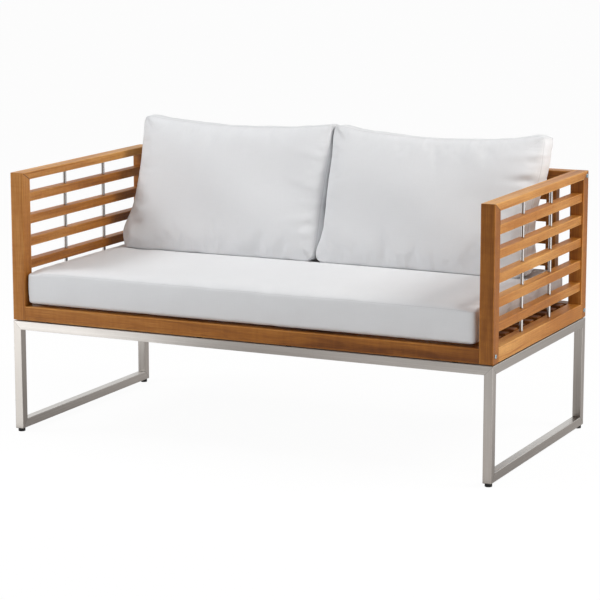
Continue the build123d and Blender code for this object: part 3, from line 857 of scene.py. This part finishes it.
def gathers(cover, shares, seed):
    """Small folds that run out from the seams at a cushion's left and right sides, where the
    thread draws the cloth together, each side by its own share. Each fold is a bell across and
    dies away from the seam, and its place, length, slant and height are random."""
    rng = np.random.default_rng(seed)
    flat = cover.points
    relief = np.zeros(len(flat))
    ends = cover.height / 2 - gather_pitch
    for way, share in zip((-1, 1), shares):
        inset = cover.width / 2 - way * flat[:, 0]
        for start in np.arange(-ends, ends, gather_pitch):
            place = start + rng.uniform(-gather_shift, gather_shift) * gather_pitch
            length = rng.uniform(0.5, 1.5) * gather_reach
            slant = rng.uniform(-gather_slant, gather_slant)
            height = rng.uniform(0.3, 1.0) * gather_height * share
            across = (flat[:, 1] - place - slant * inset) / gather_width
            bell = height * np.exp(-across ** 2 - (inset / length) ** 2)
            relief += bell * np.clip(inset / gather_width, 0, 1)
    return relief


def side_directions(flat, width, height):
    """For each point of the boxing, which way is out: along X, along Y or both at a corner."""
    outward = flat[:, :2] / np.array([width / 2, height / 2])
    return np.where(abs(outward) > 0.999, np.sign(outward), 0)


def seat_cushion(material):
    """The seat cushion: flat underneath, square at its sides, with a low crown. Its boxing swells
    by half a sine wave, with small ripples."""
    low, high, middle = size_of("seat_cushion_cover")
    width, depth = high[0] - low[0], high[1] - low[1]
    cover = Cushion(width, depth, seat_boxing, seat_spacing)
    flat = cover.points
    detail = cover.puckers(cover.inflate(**seat_filling), seat_pucker, seat_smoothing)
    upper = flat[:, 2] / seat_boxing + 0.5
    points = drawn_in(flat, width, depth, seat_draws, seat_corner) + middle * np.array([1, 1, 0])
    bottom = low[2] + clearance
    seam_height = high[2] - seat_crown
    points[:, 2] = bottom + (seam_height - bottom) * upper
    points[cover.front, 2] = seat_surface(points[cover.front, 0], points[cover.front, 1])
    belly = np.sin(np.pi * upper) * cover.side
    rng = np.random.default_rng(41)
    wave = undulation(flat[:, 0] + flat[:, 1], flat[:, 2] * 1.5, rng, *seat_side_ripple) * cover.side
    swell = belly * seat_belly - seat_inset + wave
    points[:, :2] += side_directions(flat, width, depth) * swell[:, None]
    share = bottom_pucker_share + (1 - bottom_pucker_share) * upper
    points += detail * np.array(seat_pucker_weights) * share[:, None]
    lift = np.clip(1 - cover.seam / seam_lift_reach, 0, 1) * (1 - upper) ** 4
    points[:, 2] += lift * seam_lift
    points[:, 2] = np.maximum(points[:, 2], bottom)
    piece_from(cover, "seat_cushion", points, "seat_cushion_foam", material)


def lean_back(points, height, middle_x, foot):
    """Points of an upright cushion, moved so that it has slumped, leans back by back_lean, stands
    with its front seam at foot and lies with its rear crown against the top rail's front edge."""
    rail_low, rail_high, _ = size_of("back_top_rail")
    fall, rise = math.sin(back_lean), math.cos(back_lean)
    depth = points[:, 2]
    up = points[:, 1] - depth * back_slump / back_boxing
    half_height = (height + back_slump) / 2
    middle_z = foot + half_height * rise - back_boxing / 2 * fall
    behind = back_boxing / 2 + rear_crown + clearance
    middle_y = rail_low[1] - (behind + (rail_high[2] - middle_z) * fall) / rise
    placed = np.empty_like(points)
    placed[:, 0] = middle_x + points[:, 0]
    placed[:, 1] = middle_y + up * fall - depth * rise
    placed[:, 2] = middle_z + up * rise + depth * fall
    return placed


def back_outline(cover, draws, bulges):
    """A back cushion's flat points with its sides bowed in and its corners rounded, narrower at
    the rear than in front. Each bulge pushes a side out by a bell that runs up along it."""
    flat = cover.points
    corner = np.where(flat[:, 1] > 0, top_corner, bottom_corner)
    points = drawn_in(flat, cover.width, cover.height, draws, corner)
    behind = 0.5 - flat[:, 2] / back_boxing
    draw = rear_draw * behind * (1 - (2 * flat[:, 1] / cover.height) ** 2)
    points[:, 0] -= np.sign(flat[:, 0]) * draw
    for way, up, reach, push in bulges:
        near_side = np.clip(way * flat[:, 0] * 4 / cover.width - 1, 0, 1)
        bell = np.exp(-((flat[:, 1] / cover.height - up) / reach) ** 2)
        points[:, 0] += way * push * near_side * bell
    return points


def back_relief(cover, rng, seed, creases, places):
    """What the front of a back cushion has besides its crown: long ripples, dents and gathers."""
    flat = cover.points
    relief = (undulation(flat[:, 0], flat[:, 1], rng, *front_ripple)
              + dents(flat[:, 0] / cover.width, flat[:, 1] / cover.height, places))
    return relief * np.clip(cover.seam / ripple_start, 0, 1) + gathers(cover, creases, seed + 100)


def settled(placed, way):
    """Points of a back cushion that ease off before they pass into the seat cushion, the back's
    top rail or the other back cushion, which lies to the right where way is 1."""
    rail_low, rail_high, _ = size_of("back_top_rail")
    rest = seat_surface(placed[:, 0], placed[:, 1]) + clearance
    placed[:, 2] = -soft_limit(-placed[:, 2], -rest, seat_softness)
    near_rail = ((placed[:, 2] > rail_low[2] - rail_reach_below)
                 & (placed[:, 2] < rail_high[2] + rail_reach_above))
    placed[near_rail, 1] = soft_limit(placed[near_rail, 1], rail_low[1] - clearance, rail_softness)
    contact = np.interp(placed[:, 2], contact_heights, contact_places)
    placed[:, 0] = way * soft_limit(way * placed[:, 0], way * contact - clearance, neighbour_softness)
    return placed


def back_cushion(name, material, seed, draws, bellies, bulges, creases, places):
    """A back cushion: inflated, crowned in front and behind, leaning on the rail, resting on the
    seat and pushed against its neighbour."""
    low, high, middle = size_of(f"back_cushion_{name}_cover")
    way = 1.0 if name == "left" else -1.0
    reach = 0.0 if name == "left" else right_reach
    width = high[0] - low[0] + width_ease + reach
    middle_x = middle[0] + way * reach / 2
    foot = size_of("seat_cushion_cover")[1][2] + clearance + foot_lift
    height = (high[2] - foot) / math.cos(back_lean) + height_ease
    cover = Cushion(width, height, back_boxing, back_spacing)
    flat = cover.points
    detail = cover.puckers(cover.inflate(seed, **back_filling), back_pucker, back_smoothing)
    points = back_outline(cover, draws, bulges)
    rng = np.random.default_rng(seed)
    share = crown_share(flat, width, height)
    relief = back_relief(cover, rng, seed, creases, places)
    points[cover.front, 2] += (share * front_crown + relief)[cover.front]
    points[cover.rear, 2] -= (share * rear_crown)[cover.rear]
    belly = np.clip(1 - (2 * flat[:, 2] / back_boxing) ** 2, 0, 1) ** belly_power * cover.side
    pinch = undulation(cover.along, cover.along * 0, rng, *boxing_ripple)
    left, right, top = bellies
    ways = side_directions(flat, width, height)
    points[:, 0] += ways[:, 0] * belly * (np.where(ways[:, 0] > 0, right, left) + pinch)
    points[:, 1] += ways[:, 1] * belly * (top + pinch * top_pinch)
    loss = upper_pucker_loss * np.clip(flat[:, 1] / height * 3, 0, 1)
    points += detail * (lower_pucker_share - loss)[:, None]
    droop = np.clip(-flat[:, 1] / height - droop_start, 0, 1) ** 2
    sag = droop_sag + undulation(flat[:, 0], flat[:, 0] * 0, rng, *sag_ripple)
    points[:, 1] -= droop * sag * (rear_sag + (1 - rear_sag) * (flat[:, 2] / back_boxing + 0.5))
    placed = settled(lean_back(points, height, middle_x, foot), way)
    piece_from(cover, f"back_cushion_{name}", placed, f"back_cushion_{name}_filling", material)


# Finishes on the modelled pieces

# How much paler or darker each piece is than the rest, the arms' slats from the bottom up. This is
# partly each piece's own tone and partly painted light and shade: painted shade darkens the seat's
# slats and bearers under the cushion and the lowest left slat, and painted light makes the right arm
# paler.
timber_tones_and_painted_shading = {
    "post_front_left": 0.04, "post_front_right": -0.10,
    "post_back_left": -0.04, "post_back_right": -0.08,
    "arm_top_rail_left": 0.20, "arm_top_rail_right": 0.22,
    "arm_bottom_rail_left": -0.02, "arm_bottom_rail_right": 0.10,
    "front_rail": -0.06, "back_top_rail": -0.02,
    "seat_slats": -0.30, "seat_bearers": -0.30,
}
slat_tones_and_painted_shading = {"left": (-0.34, -0.04, -0.02, 0.08, 0.02), "right": (0.08, 0.08, 0.06, 0.08, 0.06)}
for side, tones in slat_tones_and_painted_shading.items():
    timber_tones_and_painted_shading.update({f"arm_slat_{side}_{number}": tone for number, tone in enumerate(tones, 1)})

# How much darker the front rail is painted at its right end, as painted shade where the light falls off
front_rail_painted_falloff = 0.32
seat_slat_width = 0.030
seat_slat_gaps = 9
bearer_pitch = 0.4467


def main_axis(node):
    """The axis that a single straight piece runs along."""
    low, high, _ = size_of(node)
    return int(np.argmax(high - low))


def finish_nodes():
    """Gives every modelled piece that stays in sight its own finish."""
    slots = {part["node"]: part["material_slot"] for part in frame["record"]["subparts"]}
    shared = {
        "rod_steel": drawn_rod("drawn_rod"),
        "bolt_steel": polished_bolt("polished_bolt"),
        "fixing_steel": zinc_fixing("zinc_fixing"),
        "spacer_rubber": black_moulding("spacer_rubber", 900, 0.7),
        "foot_plastic": black_moulding("foot_plastic", 1400, 0.45),
    }
    slat_low, slat_high, _ = size_of("seat_slats")
    slat_pitch = (slat_high[1] - slat_low[1] - seat_slat_width) / seat_slat_gaps
    rows = {"seat_slats": (0, slat_pitch), "seat_bearers": (1, bearer_pitch)}
    for seed, node in enumerate(sorted(frame["nodes"])):
        slot = slots[node]
        low, high, _ = size_of(node)
        if slot == "hardwood":
            along, pitch = rows.get(node, (main_axis(node), 0.0))
            painted_falloff = front_rail_painted_falloff if node == "front_rail" else 0.0
            tone = timber_tones_and_painted_shading.get(node, 0.0)
            finish = hardwood(node, along, low, high, 100 + seed, tone, pitch, painted_falloff)
        elif slot == "base_steel":
            finish = brushed_steel(node, main_axis(node), 300 + seed)
        elif slot in shared:
            finish = shared[slot]
        else:
            continue
        slots_of_mesh = frame["nodes"][node].data.materials
        slots_of_mesh.clear()
        slots_of_mesh.append(finish)


# Studio

floor_half = 40.0
floor_grey = (0.80, 0.80, 0.80)
floor_glow = 1.02
floor_whiteness = 0.94
floor_mirrored = 0.9
shade_tint = (1.0, 0.94, 0.90)
white = (1.0, 1.0, 1.0)

# What shiny metal sees of the floor: a glow of painted light and shade, with a bright patch ahead on
# the left, a painted shadow near and under the seat, and dimness far ahead. In a face that looks
# forward, the camera sees the floor along lines of mirror_slope. A step goes from one place to
# another, and from one brightness to another.
mirror_slope = 0.475
ahead_step = (-0.45, -0.36, 1.0, 0.0)
front_right_step = (0.0, 0.75, 0.35, 0.86)
front_left_step = (-0.17, -0.10, 1.44, 0.0)
front_far_step = (-3.0, -1.9, 0.22, 1.0)
front_near_step = (-1.45, -0.85, 1.0, 0.74)
rear_level = 0.29
rear_far_step = (-0.3, 0.6, 0.0, 0.16)
rear_right_step = (0.85, 1.4, 0.0, 0.4)

# The light all round, and the room that shiny metal sees
ambient = 0.335
ambient_colour = (1.0, 0.99, 0.98)
room_dark = (0.13, 0.125, 0.12)
room_wall = (0.79, 0.80, 0.80)
room_ceiling = (1.10, 1.10, 1.10)

# Where each lamp stands, the point that it faces, its width and height, and how bright it is
lamps = {
    "low_box": {"place": (-1.70, -1.68, 0.70), "aim": (-0.30, 0.75, 0.45),
                "size": (1.0, 1.36), "radiance": 0.85},
    "front_left_box": {"place": (-1.3, -2.9, 1.7), "aim": (-0.2, -0.2, 0.5),
                       "size": (1.4, 1.4), "radiance": 1.1, "shines": False},
    "left_box": {"place": (-2.4, -1.15, 2.9), "aim": (0.0, 0.0, 0.5), "size": (1.0, 1.0),
                 "radiance": 14.4, "colour": (0.97, 0.985, 1.0), "shines": False},
    "top_box": {"place": (0.2, -0.3, 3.4), "aim": (0.0, 0.0, 0.4), "size": (2.4, 2.0),
                "radiance": 0.60, "colour": (0.95, 0.975, 1.0)},
    "right_box": {"place": (2.9, 0.3, 2.9), "aim": (0.6, 0.0, 0.6), "size": (1.4, 1.4),
                  "radiance": 11.0, "colour": (1.0, 0.98, 0.95), "shines": False},
    "right_low_box": {"place": (3.0, -0.6, 0.75), "aim": (0.6, 0.0, 0.55), "size": (1.6, 1.0),
                      "radiance": 3.0, "colour": (1.0, 0.98, 0.97), "shines": False},
    "left_board": {"place": (-1.35, -0.3, 0.5), "aim": (0.0, -0.3, 0.5), "size": (1.7, 1.0),
                   "radiance": 0.30, "lights": False},
    "right_board": {"place": (2.4, -0.3, 0.5), "aim": (0.0, -0.3, 0.5), "size": (1.4, 1.2),
                    "radiance": 1.5, "lights": False},
}


def white_floor():
    """A pale floor that keeps the shadow, and shows as the white background. Shiny metal sees it as a glow
    of its own, with painted light and shade, from the tone worked out here."""
    mesh = bpy.data.meshes.new("floor")
    turns = ((-1, -1), (1, -1), (1, 1), (-1, 1))
    mesh.from_pydata([(x * floor_half, y * floor_half, 0) for x, y in turns], [], [(0, 1, 2, 3)])
    floor = bpy.data.objects.new("floor", mesh)
    bpy.context.scene.collection.objects.link(floor)
    paint = Paint("floor")
    x, y = paint.place()[:2]
    slant = x - y * mirror_slope
    ahead = y.step(*ahead_step)
    # Painted light: a bright patch ahead on the left, and brighter to the right
    front_shade = slant.step(*front_right_step) + slant.step(*front_left_step)
    front_shade = front_shade * y.step(*front_far_step) * y.step(*front_near_step)
    # Painted shadow: the glow is dimmer near the seat, and brighter further back and to the right
    rear_shade = rear_level + y.step(*rear_far_step) + slant.step(*rear_right_step)
    tone = ahead * front_shade + (1.0 - ahead) * rear_shade
    matte = paint.add("ShaderNodeBsdfDiffuse", None, {"Color": floor_grey})
    glow = paint.add("ShaderNodeEmission", None, {"Color": white, "Strength": floor_glow})
    tint = paint.blend(tone.step(0.5, 1.0), shade_tint, white)
    shade = paint.add("ShaderNodeEmission", None, {"Color": tint, "Strength": tone})
    seen = paint.either(paint.ray("Camera") * floor_whiteness, matte, glow)
    both = paint.either(paint.ray("Glossy") * floor_mirrored, seen, shade)
    floor.data.materials.append(paint.show(both))


def white_world():
    """Even light all round, which the camera sees as white. Shiny metal sees it as a room: white
    above, pale behind and dim in front."""
    paint = Paint("studio", world=True)
    y, z = paint.parts(paint.add("ShaderNodeTexCoord", output="Generated"))[1:]
    pale = paint.blend(z.step(0.30, 0.60), room_wall, room_ceiling)
    room = paint.blend((y + z * 0.5).step(-0.60, 0.45), room_dark, pale)
    around = paint.add("ShaderNodeBackground", None, {"Color": ambient_colour, "Strength": ambient})
    mirrored = paint.add("ShaderNodeBackground", None, {"Color": room, "Strength": 1.0})
    behind = paint.add("ShaderNodeBackground", None, {"Color": white, "Strength": 1.0})
    shiny = paint.either(paint.ray("Glossy"), around, mirrored)
    bpy.context.scene.world = paint.show(paint.either(paint.ray("Camera"), shiny, behind))


def softbox(name, place, aim, size, radiance, colour=white, lights=True, shines=True):
    """A flat lamp of that brightness, turned to face a point. One that doesn't light is a board
    which only shows in shiny surfaces, and one that doesn't shine doesn't show in them."""
    data = bpy.data.lights.new(name, "AREA")
    data.shape = "RECTANGLE"
    data.size, data.size_y = size
    data.energy = radiance * math.pi * size[0] * size[1]
    data.color = colour
    lamp = bpy.data.objects.new(name, data)
    lamp.location = place
    lamp.rotation_euler = (Vector(aim) - Vector(place)).to_track_quat("-Z", "Y").to_euler()
    lamp.visible_camera = False
    lamp.visible_diffuse = lights
    lamp.visible_glossy = shines
    bpy.context.scene.collection.objects.link(lamp)


def photo_camera():
    """The camera, where it stood for the photograph."""
    data = bpy.data.cameras.new("camera")
    data.sensor_width = camera_sensor_mm
    data.lens = camera_lens_mm
    data.clip_end = camera_far
    camera = bpy.data.objects.new("camera", data)
    camera.location = camera_place
    camera.rotation_euler = Vector(camera_aim).to_track_quat("-Z", "Y").to_euler()
    bpy.context.scene.collection.objects.link(camera)
    bpy.context.scene.camera = camera


photo_camera()
white_world()
white_floor()
for name, lamp in lamps.items():
    softbox(name, **lamp)

finish_nodes()
seat_cushion(woven_cover("woven_cover_seat", 1, seat_gathering))
for seed, (name, shape) in enumerate(back_shapes.items(), start=2):
    back_cushion(name, woven_cover(f"woven_cover_{name}", seed, back_gathering), **shape)

bpy.context.scene.view_settings.view_transform = "Standard"
